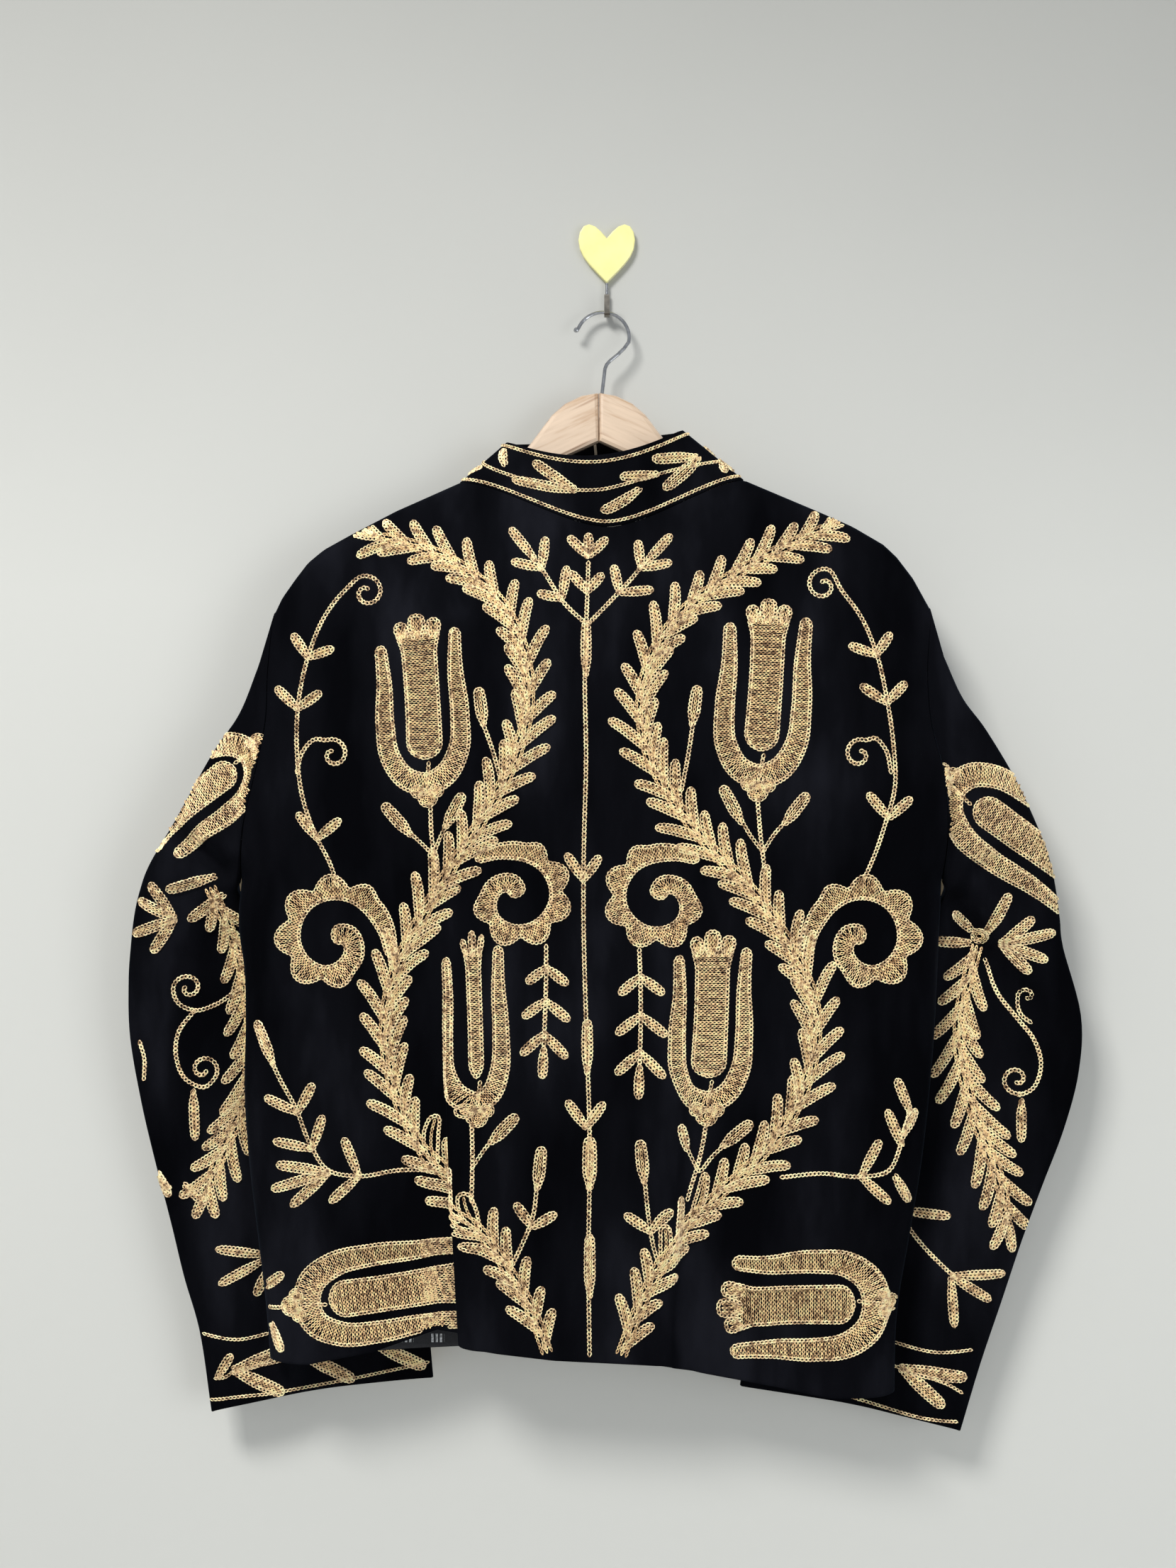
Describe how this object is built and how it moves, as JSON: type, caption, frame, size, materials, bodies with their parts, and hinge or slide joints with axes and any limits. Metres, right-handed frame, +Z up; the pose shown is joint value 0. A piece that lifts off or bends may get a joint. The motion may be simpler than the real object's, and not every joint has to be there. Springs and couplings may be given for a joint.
{
  "type": "embroidered jacket on a hanger and wall hook",
  "caption": "Hip-length velvet jacket with a stand collar and chain-stitch embroidery, hung back outwards on a wooden hanger from a small heart-shaped wall hook.",
  "frame": {"origin": "centre of the back face of the wall hook's pad, on the wall", "axes": "+Z up, +Y into the wall, +X to the right as seen from the room; the jacket's back faces -Y"},
  "size_m": [0.8088, 0.0976, 1.0394],
  "materials": {
    "velvet": "cotton velvet with a short nap",
    "thread": "silky chain-stitch thread",
    "lining": "plain-weave cotton with small pale dashes",
    "wood": "sanded, satin varnish",
    "chrome": "bright plating",
    "steel": "darkened",
    "pad": "smooth"
  },
  "bodies": {
    "root": {"back": "velvet", "front_left": "velvet", "front_right": "velvet", "sleeve_left": "velvet", "sleeve_right": "velvet", "collar": "velvet", "cuff_lining_left": "lining", "cuff_lining_right": "lining", "hem_lining_left": "lining", "hanger_arm_left": "wood", "hanger_arm_right": "wood", "hanger_hook": "chrome", "wall_hook_pad": "pad", "wall_hook_pin": "chrome", "wall_hook_strip": "steel"}
  },
  "joints": []
}
